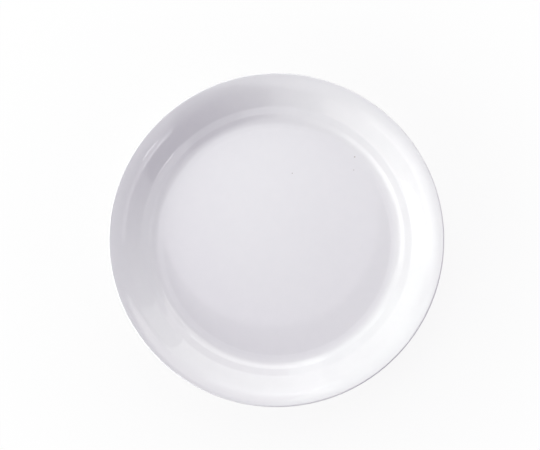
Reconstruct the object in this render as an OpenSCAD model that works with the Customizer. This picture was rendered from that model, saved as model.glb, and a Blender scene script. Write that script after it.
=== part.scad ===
/* [Plate] */
// Outside diameter over the lip
plate_d = 230; // [224:1:270]
// Thickness of the moulded paper wall
wall = 0.7; // [0.5:0.05:1.2]

/* [Floor] */
// Radius of the floor on the food side, where the heel curve starts
floor_r = 80.8; // [78:0.1:83]
// Width of the level ring that the plate stands on
seat_w = 1.6; // [1:0.1:6]
// Height of the crowned middle above the level ring
crown_h = 2.8; // [0.5:0.1:4]
// Radius of the hollow curve between the crown and the level ring
crown_foot_r = 12; // [6:1:100]

/* [Side wall] */
// Hollow radius of the heel, on the food side
heel_r = 11.5; // [8:0.5:14]
// Slope of the side wall above level
side_slope = 30; // [26:1:40]
// Straight run of the side wall
side_run = 1.9; // [0.5:0.1:3]
// Round radius of the shoulder that ends the side wall, on the food side
shoulder_r = 5; // [3:0.5:8]

/* [Verge step] */
// Slope of the narrow step round the well
step_slope = 22; // [12:1:25]
// Straight run of the step
step_run = 4; // [1:0.1:5]
// Hollow radius between the step and the flange, on the food side
verge_r = 7.5; // [4:0.5:10]

/* [Flange] */
// Slope of the flange where it leaves the step
flange_slope = 36.5; // [30:0.5:42]
// Slope to which the flange flattens before the lip
rim_slope = 17.5; // [12:0.5:24]
// Round radius over which the flange flattens
brow_r = 38; // [20:1:42]

/* [Lip] */
// Hollow radius of the turned-down lip, underneath
lip_hollow_r = 0.1; // [0.05:0.05:1.5]
// Slope at which the lip ends, below level
lip_drop = 65; // [45:1:88]
// Straight run of the lip below its curve
skirt_run = 0.2; // [0.1:0.1:1.5]

/* [Hidden] */
paper_white = [0.93, 0.93, 0.95];
// Largest gap between a curve and the chords that draw it
chord_gap = 0.008;
// Sides of the plate in preview
$fn = 180;

// The crown is a round curve and then a hollow one, which turn by the same angle.
seat_start_r = floor_r - seat_w;
crown_turn = 2 * atan(crown_h / seat_start_r);
crown_r = seat_start_r / sin(crown_turn) - crown_foot_r;

// The lip bends the wall round its hollow, so the food side is one wall further out.
lip_r = lip_hollow_r + wall;

// Reach from the axis of a curve that turns from one slope to another.
function curve_reach(r, from, to) = r * abs(sin(to) - sin(from));

// The flange's straight run takes up what the other pieces of the section leave.
flange_run = (plate_d / 2 - floor_r
    - curve_reach(heel_r, 0, side_slope)
    - side_run * cos(side_slope)
    - curve_reach(shoulder_r, side_slope, step_slope)
    - step_run * cos(step_slope)
    - curve_reach(verge_r, step_slope, flange_slope)
    - curve_reach(brow_r, flange_slope, rim_slope)
    - curve_reach(lip_r, rim_slope, -lip_drop)
    - skirt_run * cos(lip_drop)) / cos(flange_slope);

// The food side's section, from the axis outwards. Each row is a radius and the slope that the curve
// turns to, or a length and undef for a straight run. Every piece is tangent to the one before it, and
// the lip has two rows, so that the highest point of its curve is a point of the section.
section = [
    [crown_r, -crown_turn],
    [crown_foot_r, 0],
    [seat_w, undef],
    [heel_r, side_slope],
    [side_run, undef],
    [shoulder_r, step_slope],
    [step_run, undef],
    [verge_r, flange_slope],
    [flange_run, undef],
    [brow_r, rim_slope],
    [lip_r, 0],
    [lip_r, -lip_drop],
    [skirt_run, undef]
];

// Chords that keep a curve of radius r within chord_gap while it turns by an angle.
function chords(r, turn) = max(1, ceil(abs(turn) / (2 * acos(1 - chord_gap / r))));

// A pose is [distance from the axis, height, slope]. A straight run moves it along its slope.
function along(pose, run) =
    [pose[0] + run * cos(pose[2]), pose[1] + run * sin(pose[2]), pose[2]];

// A curve moves a pose round a centre that lies square to its slope, above it where it turns upwards.
function round_to(pose, r, slope) =
    let (up = slope > pose[2] ? r : -r)
    [
        pose[0] + up * (sin(slope) - sin(pose[2])),
        pose[1] + up * (cos(pose[2]) - cos(slope)),
        slope
    ];

// The poses that one row of the section adds after the given one.
function piece(pose, row) = is_undef(row[1])
    ? [along(pose, row[0])]
    : let (n = chords(row[0], row[1] - pose[2]))
      [for (i = [1:n]) round_to(pose, row[0], pose[2] + (row[1] - pose[2]) * i / n)];

// All the poses of the food side, by walking the section row by row.
function walk(poses, i = 0) = i == len(section)
    ? poses
    : walk(concat(poses, piece(poses[len(poses) - 1], section[i])), i + 1);

// The crowned middle stands above the seat, whose underside is at height 0.
food_side = walk([[0, wall + crown_h, 0]]);

// The point of the underside that lies square below a pose of the food side.
function below(pose) = [pose[0] + wall * sin(pose[2]), pose[1] - wall * cos(pose[2])];

// One wall of even thickness, with a square-cut edge under the lip
module wall_section() {
    top = [for (pose = food_side) [pose[0], pose[1]]];
    bottom = [for (i = [len(food_side) - 1:-1:0]) below(food_side[i])];
    polygon(concat(top, bottom));
}

// The whole plate is one moulded piece of revolution.
module plate() {
    color(paper_white) rotate_extrude() wall_section();
}

plate();
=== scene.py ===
"""A moulded paper plate with a glossy coated face, lying on a white table and seen from above."""

import math

import bpy
import numpy as np
from mathutils import Matrix, Vector


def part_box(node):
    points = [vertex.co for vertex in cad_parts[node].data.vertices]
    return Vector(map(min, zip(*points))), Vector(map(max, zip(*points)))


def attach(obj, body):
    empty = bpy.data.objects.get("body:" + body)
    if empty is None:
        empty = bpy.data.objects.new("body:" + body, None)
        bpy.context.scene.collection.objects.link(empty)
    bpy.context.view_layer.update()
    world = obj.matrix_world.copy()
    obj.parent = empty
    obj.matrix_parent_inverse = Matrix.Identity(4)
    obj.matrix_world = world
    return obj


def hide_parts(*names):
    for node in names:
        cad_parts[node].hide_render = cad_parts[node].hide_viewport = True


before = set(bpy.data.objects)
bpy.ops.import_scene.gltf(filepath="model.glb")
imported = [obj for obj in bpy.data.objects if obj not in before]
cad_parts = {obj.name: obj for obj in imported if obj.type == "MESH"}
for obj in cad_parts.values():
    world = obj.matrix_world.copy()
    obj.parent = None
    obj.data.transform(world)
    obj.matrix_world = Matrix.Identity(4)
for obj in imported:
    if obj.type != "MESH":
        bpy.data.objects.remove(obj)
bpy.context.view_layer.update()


# The camera
# It looks almost straight down from a little in front of the plate, as a copy stand does. The lens is
# chosen so that the plate is as large as in the photograph, and the aim so that it lies where it does there.
PHOTO_WIDTH = 540
PHOTO_MIDDLE_PX = (269.5, 224.5)
PLATE_MIDDLE_PX = (275.7, 238.4)
PLATE_RADIUS_PX = 168.0
CAMERA_ELEVATION = 84.3
CAMERA_SIDE = 0.8
CAMERA_DISTANCE = 1.9
SENSOR_WIDTH = 36.0

plate_low, plate_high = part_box("plate")
plate_radius = (plate_high.x - plate_low.x) / 2
rim_middle = Vector((0, 0, plate_high.z))
metres_per_px = plate_radius / PLATE_RADIUS_PX

camera = bpy.data.objects.new("camera", bpy.data.cameras.new("camera"))
bpy.context.scene.collection.objects.link(camera)
camera.data.sensor_width = SENSOR_WIDTH
camera.data.lens = SENSOR_WIDTH * CAMERA_DISTANCE / (PHOTO_WIDTH * metres_per_px)
lean_front = math.tan(math.radians(90 - CAMERA_ELEVATION))
lean_side = math.tan(math.radians(CAMERA_SIDE))
backwards = Vector((lean_side, -lean_front, 1)).normalized()
sideways = Vector((0, 1, 0)).cross(backwards).normalized()
upwards = backwards.cross(sideways)
aim = (
    rim_middle
    - sideways * (PLATE_MIDDLE_PX[0] - PHOTO_MIDDLE_PX[0]) * metres_per_px
    + upwards * (PLATE_MIDDLE_PX[1] - PHOTO_MIDDLE_PX[1]) * metres_per_px
)
axes = Matrix((sideways, upwards, backwards)).transposed().to_4x4()
camera.matrix_world = Matrix.Translation(aim + backwards * CAMERA_DISTANCE) @ axes
bpy.context.scene.camera = camera
bpy.context.scene.view_settings.view_transform = "Standard"


# The plate
# One even wall of paper pulp, pressed to shape between heated moulds and trimmed square at the lip. The food
# side carries a clear glossy film. The underside is bare paper with the print of the forming wire, and the
# floor is crowned, so that the plate stands on the level ring round it.
MM = 0.001
WALL = 0.7 * MM
FLOOR_RADIUS = 80.8 * MM
SEAT = 1.6 * MM
CROWN = 2.8 * MM
CROWN_FOOT = 12 * MM
# The small chamfer at both corners of the cut edge
CUT_ROUND = 0.12 * MM
AROUND = 360

seat_start = FLOOR_RADIUS - SEAT
crown_turn = 2 * math.degrees(math.atan(CROWN / seat_start))
crown_radius = seat_start / math.sin(math.radians(crown_turn)) - CROWN_FOOT

# Rows of the food side's section from the axis outwards: a radius and the slope that the curve turns to, or
# a length and no slope for a straight run, and then the number of steps that draw it.
VERGE_SLOPE = 36.5
crown = [(crown_radius, -crown_turn, 22), (CROWN_FOOT, 0, 6), (SEAT, None, 2)]
side_wall = [(11.5 * MM, 30, 16), (1.9 * MM, None, 2), (5 * MM, 22, 8)]
verge_step = [(4 * MM, None, 3), (7.5 * MM, VERGE_SLOPE, 10)]
brow = [(38 * MM, 17.5, 20)]
lip = [(0.8 * MM, 0, 6), (0.8 * MM, -65, 16), (0.2 * MM, None, 2)]
FLANGE_STEPS = 6


def turn(pose, radius, slope, steps):
    """Poses along a curve from slope a to slope b, with every slope b on the way.

    They are at distance + R (sin b - sin a) and height + R (cos a - cos b)."""
    start, height, was = pose
    now = np.radians(np.linspace(was, slope, steps + 1)[1:])
    side = math.copysign(radius, slope - was)
    return np.column_stack((
        start + side * (np.sin(now) - math.sin(math.radians(was))),
        height + side * (math.cos(math.radians(was)) - np.cos(now)),
        np.degrees(now),
    ))


def run(pose, length, steps):
    """Poses along a straight run: the start plus equal shares of the length along its slope."""
    share = np.linspace(0, length, steps + 1)[1:]
    slope = math.radians(pose[2])
    return np.column_stack((
        pose[0] + share * math.cos(slope),
        pose[1] + share * math.sin(slope),
        np.full(steps, pose[2]),
    ))


def section(rows):
    """The food side's section as rows of distance, height and slope, each tangent to the one before."""
    poses = np.array([[0.0, WALL + CROWN, 0.0]])
    for size, slope, steps in rows:
        last = poses[-1]
        more = run(last, size, steps) if slope is None else turn(last, size, slope, steps)
        poses = np.vstack((poses, more))
    return poses


# The flange's straight run takes up what the other rows leave of the plate's radius.
before_flange = crown + side_wall + verge_step
after_flange = brow + lip
unused = plate_radius - section([*before_flange, (0, None, 1), *after_flange])[-1, 0]
flange = [(unused / math.cos(math.radians(VERGE_SLOPE)), None, FLANGE_STEPS)]
food_side = section(before_flange + flange + after_flange)


def shell_profile(poses):
    """The closed wall: the food side out, round the cut edge, and the underside back.

    A point of the underside lies one wall t square below its pose, at distance + t sin a and height - t cos a
    for the slope a. The cut edge is a straight line with a small chamfer at both corners."""
    slope = np.radians(poses[:, 2])
    square = np.column_stack((np.sin(slope), -np.cos(slope)))
    top = poses[:, :2].copy()
    bottom = top + WALL * square
    ahead = np.array([math.cos(slope[-1]), math.sin(slope[-1])])
    cut = np.array([top[-1] + CUT_ROUND * square[-1], bottom[-1] - CUT_ROUND * square[-1]])
    top[-1] -= CUT_ROUND * ahead
    bottom[-1] -= CUT_ROUND * ahead
    profile = np.vstack((top, cut, bottom[::-1]))
    film = np.concatenate((np.ones(len(top)), np.zeros(len(cut) + len(bottom))))
    return profile, film


# Drying draws the flange down a little, in two and three waves round the plate. A wave is a number of waves
# round the plate, a share of the whole and a phase in degrees.
WARP = 0.25 * MM
WARP_START = 86 * MM
WARP_WAVES = ((2, 0.6, 40), (3, 0.4, 205))


def warp(distance, angle):
    """How far the wall sinks: (W / 2) s^2 (1 + the sum of share * sin(n t + phase)), for the share s of the
    way from the floor to the lip."""
    share = np.clip((distance - WARP_START) / (plate_radius - WARP_START), 0, 1)
    waves = sum(part * np.sin(number * angle + math.radians(phase)) for number, part, phase in WARP_WAVES)
    return WARP / 2 * share**2 * (1 + waves)


def revolve(name, profile, film, around):
    """A surface of revolution: x = r cos t, y = r sin t, z = h - warp for each point (r, h) and angle t.

    Both ends of the profile lie on the axis and are one vertex each, closed by a fan."""
    angle = np.linspace(0, 2 * np.pi, around, endpoint=False)
    ring = profile[1:-1]
    x = ring[:, :1] * np.cos(angle)
    y = ring[:, :1] * np.sin(angle)
    z = ring[:, 1:] - warp(ring[:, :1], angle)
    grid = np.stack((x, y, z), axis=-1).reshape(-1, 3)
    points = np.vstack(([[0, 0, profile[0, 1]]], grid, [[0, 0, profile[-1, 1]]]))
    index = 1 + np.arange(len(ring) * around).reshape(len(ring), around)
    after = np.roll(index, -1, axis=1)
    quads = np.stack((index[:-1], index[1:], after[1:], after[:-1]), axis=-1).reshape(-1, 4)
    first = np.column_stack((np.zeros(around, int), index[0], after[0]))
    last = np.column_stack((np.full(around, len(points) - 1), after[-1], index[-1]))
    mesh = bpy.data.meshes.new(name)
    mesh.from_pydata(points.tolist(), [], [*first.tolist(), *quads.tolist(), *last.tolist()])
    mesh.polygons.foreach_set("use_smooth", np.ones(len(mesh.polygons), bool))
    point_film = np.concatenate((film[:1], np.repeat(film[1:-1], around), film[-1:]))
    attribute = mesh.attributes.new("film", "FLOAT", "POINT")
    attribute.data.foreach_set("value", point_film.astype(np.float32))
    piece = bpy.data.objects.new(name, mesh)
    bpy.context.scene.collection.objects.link(piece)
    return piece


plate = revolve("plate_shell", *shell_profile(food_side), AROUND)


class Wire:
    """One output of a shader node. Arithmetic on it adds Math nodes."""

    def __init__(self, output):
        self.output = output

    def beside(self, name):
        """Another output of the same node."""
        return Wire(self.output.node.outputs[name])

    def maths(self, operation, *values):
        """A Math node in the same tree, on the given numbers and wires."""
        sockets = dict(enumerate(values))
        return add_node(self.output.id_data, "ShaderNodeMath", {"operation": operation}, sockets)

    def __add__(self, other):
        return self.maths("ADD", self, other)

    def __sub__(self, other):
        return self.maths("SUBTRACT", self, other)

    def __rsub__(self, other):
        return self.maths("SUBTRACT", other, self)

    def __mul__(self, other):
        return self.maths("MULTIPLY", self, other)

    def larger(self, other):
        return self.maths("MAXIMUM", self, other)

    def sine(self):
        return self.maths("SINE", self)

    def share(self, low, high):
        """0 below low, 1 above high, and a smooth step between them."""
        settings = {"interpolation_type": "SMOOTHSTEP"}
        values = {"Value": self, "From Min": low, "From Max": high}
        return add_node(self.output.id_data, "ShaderNodeMapRange", settings, values)

    __radd__ = __add__
    __rmul__ = __mul__


def add_node(tree, kind, settings=None, values=None):
    """A node of any kind, with its settings and then its sockets filled, as its first output that is on.

    A value is a number, a colour or a wire, and its key is a socket's name or place. Where sockets share a
    name, as in Mix, the one that is on is meant."""
    node = tree.nodes.new(kind)
    for name, setting in (settings or {}).items():
        setattr(node, name, setting)
    for key, value in (values or {}).items():
        sockets = [socket for socket in node.inputs if socket.enabled and socket.name == key]
        socket = sockets[0] if sockets else node.inputs[key]
        if isinstance(value, Wire):
            tree.links.new(value.output, socket)
        else:
            socket.default_value = value
    outputs = [output for output in node.outputs if output.enabled]
    return Wire(outputs[0]) if outputs else None


def blank_nodes(owner):
    """The node tree of a material or world, emptied."""
    owner.use_nodes = True
    owner.node_tree.nodes.clear()
    return owner.node_tree


# Colours of the plate: the film's two shades, the bare paper's two shades, and the dark colour of its few
# specks
FILM_COLOURS = ((0.864, 0.861, 0.876, 1), (0.873, 0.869, 0.883, 1))
BARE_COLOURS = ((0.8, 0.765, 0.75, 1), (0.865, 0.84, 0.83, 1))
SPECK_COLOUR = (0.42, 0.38, 0.34, 1)
# The food side's few specks: how far each lies to the right of and behind the middle, and its radius
SPECKS = (
    ((10.9 * MM, 47.1 * MM), 0.45 * MM),
    ((54.2 * MM, 58.6 * MM), 0.55 * MM),
    ((53.5 * MM, 49.4 * MM), 0.4 * MM),
)
SPECK_HEIGHT = 0.03 * MM
# The share of a speck's radius inside which it has its full colour
SPECK_CORE = 0.4
# Noise of the pulp and of its fibres: clouds in a metre, and detail
PULP_CLOUDS = (160, 5)
FIBRES = (1500, 4)
NOISE_ROUGHNESS = 0.55
# The noise between which the colour goes from the first shade to the second
FILM_SHADES = (0.3, 0.7)
BARE_SHADES = (0.35, 0.65)
FILM_ROUGHNESS = 0.02
CLOUD_ROUGHNESS = 0.01
BARE_ROUGHNESS = 0.85
# The film's waves and grain: clouds in a metre, detail, and height
FILM_WAVES = ((26, 1, 0.032 * MM), (80, 2, 0.005 * MM), (900, 2, 0.0003 * MM))
WIRE_PITCH = 1.1 * MM
WIRE_HEIGHT = 0.012 * MM
FIBRE_HEIGHT = 0.04 * MM


def mixed(tree, factor, low, high):
    """A colour that goes from one to the other with the factor."""
    return add_node(tree, "ShaderNodeMix", {"data_type": "RGBA"}, {"Factor": factor, "A": low, "B": high})


def noise(tree, place, scale, detail):
    """Cloudy noise from 0 to 1, with the given number of clouds in a metre."""
    values = {"Vector": place, "Scale": scale, "Detail": detail, "Roughness": NOISE_ROUGHNESS}
    return add_node(tree, "ShaderNodeTexNoise", {}, values)


def speck_mask(tree, place):
    """1 on the specks and 0 elsewhere: the largest of one minus the smooth step of each distance."""
    flat = add_node(tree, "ShaderNodeVectorMath", {"operation": "MULTIPLY"}, {0: place, 1: (1, 1, 0)})
    mask = None
    for (right, behind), radius in SPECKS:
        middle = (right, behind, 0)
        away = add_node(tree, "ShaderNodeVectorMath", {"operation": "DISTANCE"}, {0: flat, 1: middle})
        spot = 1 - away.beside("Value").share(radius * SPECK_CORE, radius)
        mask = spot if mask is None else mask.larger(spot)
    return mask


def coated_paper():
    """White paper under a clear glossy film on the food side, and bare and matt where the film ends.

    Colour: faint clouds of pulp, and specks on the film. Bump: the film's slight waves and grain on the food
    side, and sin(kx) sin(ky) of the forming wire with fibre noise on the bare side."""
    material = bpy.data.materials.new("coated_paper")
    tree = blank_nodes(material)
    place = add_node(tree, "ShaderNodeTexCoord").beside("Object")
    film = add_node(tree, "ShaderNodeAttribute", {"attribute_name": "film"}).beside("Fac")
    clouds = noise(tree, place, *PULP_CLOUDS)
    fibres = noise(tree, place, *FIBRES)
    film_colour = mixed(tree, clouds.share(*FILM_SHADES), *FILM_COLOURS)
    specks = speck_mask(tree, place)
    film_colour = mixed(tree, specks, film_colour, SPECK_COLOUR)
    bare_colour = mixed(tree, (clouds * 0.5 + fibres * 0.5).share(*BARE_SHADES), *BARE_COLOURS)
    colour = mixed(tree, film, bare_colour, film_colour)

    axes = add_node(tree, "ShaderNodeSeparateXYZ", {}, {0: place})
    step = 2 * math.pi / WIRE_PITCH
    wire_print = (axes.beside("X") * step).sine() * (axes.beside("Y") * step).sine()
    bare_height = wire_print * WIRE_HEIGHT + fibres * FIBRE_HEIGHT
    film_height = specks * SPECK_HEIGHT
    for scale, detail, rise in FILM_WAVES:
        film_height = film_height + noise(tree, place, scale, detail) * rise
    height = film * film_height + (1 - film) * bare_height
    bump = add_node(tree, "ShaderNodeBump", {}, {"Height": height, "Distance": 1.0, "Strength": 1.0})
    roughness = film * (FILM_ROUGHNESS + clouds * CLOUD_ROUGHNESS) + (1 - film) * BARE_ROUGHNESS
    values = {"Base Color": colour, "Roughness": roughness, "Normal": bump}
    surface = add_node(tree, "ShaderNodeBsdfPrincipled", {}, values)
    add_node(tree, "ShaderNodeOutputMaterial", {}, {"Surface": surface})
    return material


plate.data.materials.append(coated_paper())
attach(plate, "root")
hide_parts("plate")


# The table
# A plain white sheet of board that the plate lies on. The camera and reflections see it white, with the
# plate's faint shadow.
TABLE_SIZE = 6.0
TABLE_WHITE = (0.9, 0.9, 0.9, 1)
# The share of plain white that is seen next to the plate, and the distances over which it grows to 1
NEAR_SHARE = 0.9
SHADOW_REACH = (0.12, 0.28)
WHITE = (1, 1, 1, 1)

table = bpy.data.objects.new("table", bpy.data.meshes.new("table"))
half = TABLE_SIZE / 2
corners = [(-half, -half, 0), (half, -half, 0), (half, half, 0), (-half, half, 0)]
table.data.from_pydata(corners, [], [(0, 1, 2, 3)])
bpy.context.scene.collection.objects.link(table)


def seen_white(tree):
    """1 for rays from the camera, and for reflections and transmission, and 0 for light that lights."""
    rays = add_node(tree, "ShaderNodeLightPath")
    seen = rays.beside("Is Camera Ray").larger(rays.beside("Is Glossy Ray"))
    return seen.larger(rays.beside("Is Transmission Ray"))


def white_board():
    """Plain white that shows the plate's faint shadow round it, and pure white further off."""
    material = bpy.data.materials.new("white_board")
    tree = blank_nodes(material)
    paint = add_node(tree, "ShaderNodeBsdfDiffuse", {}, {"Color": TABLE_WHITE})
    glow = add_node(tree, "ShaderNodeEmission", {}, {"Color": WHITE, "Strength": 1.0})
    place = add_node(tree, "ShaderNodeTexCoord").beside("Object")
    away = add_node(tree, "ShaderNodeVectorMath", {"operation": "LENGTH"}, {0: place}).beside("Value")
    share = away.share(*SHADOW_REACH) * (1 - NEAR_SHARE) + NEAR_SHARE
    surface = add_node(tree, "ShaderNodeMixShader", {}, {0: seen_white(tree) * share, 1: paint, 2: glow})
    add_node(tree, "ShaderNodeOutputMaterial", {}, {"Surface": surface})
    return material


table.data.materials.append(white_board())


# The room
# A dim pale room round the table, whose light fills the shadows. The camera and reflections see it plain
# white, as the photograph's background is.
ROOM_LIGHT = 0.25
ROOM_COLOUR = (0.98, 0.875, 1.147, 1)

room = bpy.data.worlds.new("room")
bpy.context.scene.world = room
room_tree = blank_nodes(room)
seen = seen_white(room_tree)
air_colour = mixed(room_tree, seen, ROOM_COLOUR, WHITE)
air_values = {"Color": air_colour, "Strength": seen * (1 - ROOM_LIGHT) + ROOM_LIGHT}
air = add_node(room_tree, "ShaderNodeBackground", {}, air_values)
add_node(room_tree, "ShaderNodeOutputWorld", {}, {"Surface": air})


# The lamps
# Three soft boxes stand on the left and three behind, one above the other, and a smaller one between them is
# the key. A round diffuser hangs over the table inside a wider one, and its edge shows in the floor's gloss.
COOL = (1.0, 0.98, 1.02)


def soft_box(name, azimuth, elevation, distance, size, power, colour=(1, 1, 1), shape="RECTANGLE"):
    """A flat lamp of a width and a height in metres and a power in watts, which faces the plate's middle.

    Its place is a distance along (cos e cos a, cos e sin a, sin e), for an azimuth a and an elevation e in
    degrees."""
    way, rise = math.radians(azimuth), math.radians(elevation)
    outwards = Vector((math.cos(rise) * math.cos(way), math.cos(rise) * math.sin(way), math.sin(rise)))
    lamp = bpy.data.objects.new(name, bpy.data.lights.new(name, "AREA"))
    lamp.data.shape = shape
    lamp.data.size, lamp.data.size_y = size
    lamp.data.energy = power
    lamp.data.color = colour
    lamp.visible_camera = False
    facing = outwards.to_track_quat("Z", "Y").to_matrix().to_4x4()
    lamp.matrix_world = Matrix.Translation(outwards * distance) @ facing
    bpy.context.scene.collection.objects.link(lamp)
    return lamp


soft_box("left_low", 198, 9, 1.0, (1.15, 0.15), 4.8, (1.0, 1.09, 0.91))
soft_box("left_mid", 198, 19, 1.0, (1.15, 0.18), 3.15, (1.0, 1.02, 0.98))
soft_box("left_high", 205, 30, 1.0, (1.5, 0.34), 1.7, (1.05, 0.96, 0.99))
soft_box("back_low", 80, 24, 1.0, (1.0, 0.42), 1.7, (1.01, 1.03, 0.96))
soft_box("back_wide", 78, 22, 1.08, (1.9, 0.46), 2.7, (1.01, 1.03, 0.96))
soft_box("back_top", 70, 45, 1.0, (1.1, 0.3), 1.5, (1.04, 1.01, 0.95))
soft_box("key", 122, 46, 0.65, (0.4, 0.42), 0.69, (0.94, 1.1, 0.96))
soft_box("round_top", 98.9, 82.15, 1.615, (0.71, 0.71), 1.4, COOL, "DISK")
soft_box("wide_top", 98.9, 82.15, 1.615, (1.3, 1.3), 1.05, COOL, "DISK")


# The cards
# White cards stand round the table, and a narrow window of two panes is on the right. They light nothing
# and only show in the gloss: those on the left and behind as the bright bands near the rim, card_right as
# the bright tongue on the left of the flange, and the panes as the thin lines beside it.
CARD_DISTANCE = 1.0
# Name, azimuth and elevation in degrees, width and height, and power
GLOSS_ONLY = (
    ("card_left", 180, 49, (0.7, 0.42), 0.4),
    ("card_corner", 232, 52, (1.0, 0.44), 1.0),
    ("card_back", 77, 45, (1.2, 0.5), 1.4),
    ("card_right", -18, 35, (0.76, 0.17), 0.5),
    ("card_far_left", 197, 41, (1.02, 0.35), 1.35),
    ("card_behind", 84, 29.2, (0.5, 0.31), 0.52),
    ("pane_low", -30, 32.3, (0.26, 0.02), 0.12),
    ("pane_high", -30, 42.2, (0.13, 0.02), 0.12),
)
for name, azimuth, elevation, size, power in GLOSS_ONLY:
    card = soft_box(name, azimuth, elevation, CARD_DISTANCE, size, power)
    card.visible_diffuse = False


# The flag
# A curved screen of black cloth in front of the table on the right, which keeps the white room out of the
# gloss of the far flange. Only reflections see it.
FLAG_DISTANCE = 1.5
# Its top edge, as azimuths and elevations in degrees, and the number of points that draw it
FLAG_EDGE = ((-92, 15), (-84, 42), (-72, 56), (-55, 62), (-44, 60), (-42, 27), (-25, 26), (-12, 22), (0, 10))
FLAG_POINTS = 121
FLAG_BLACK = (0.02, 0.02, 0.02, 1)


def flag_screen():
    """Part of a round wall: x = d cos t, y = d sin t, and z from 0 to d tan e, with e along the top edge."""
    azimuth, elevation = np.array(FLAG_EDGE, float).T
    steps = np.linspace(azimuth[0], azimuth[-1], FLAG_POINTS)
    angle = np.radians(steps)
    foot = np.column_stack((np.cos(angle), np.sin(angle), np.zeros(len(steps)))) * FLAG_DISTANCE
    head = foot.copy()
    head[:, 2] = FLAG_DISTANCE * np.tan(np.radians(np.interp(steps, azimuth, elevation)))
    first = np.arange(len(steps) - 1)
    above = first + len(steps)
    faces = np.column_stack((first, first + 1, above + 1, above))
    mesh = bpy.data.meshes.new("flag")
    mesh.from_pydata(np.vstack((foot, head)).tolist(), [], faces.tolist())
    screen = bpy.data.objects.new("flag", mesh)
    bpy.context.scene.collection.objects.link(screen)
    return screen


def black_cloth():
    """Matt black cloth."""
    material = bpy.data.materials.new("black_cloth")
    tree = blank_nodes(material)
    cloth = add_node(tree, "ShaderNodeBsdfDiffuse", {}, {"Color": FLAG_BLACK})
    add_node(tree, "ShaderNodeOutputMaterial", {}, {"Surface": cloth})
    return material


flag = flag_screen()
flag.data.materials.append(black_cloth())
flag.visible_camera = False
flag.visible_diffuse = False
flag.visible_shadow = False
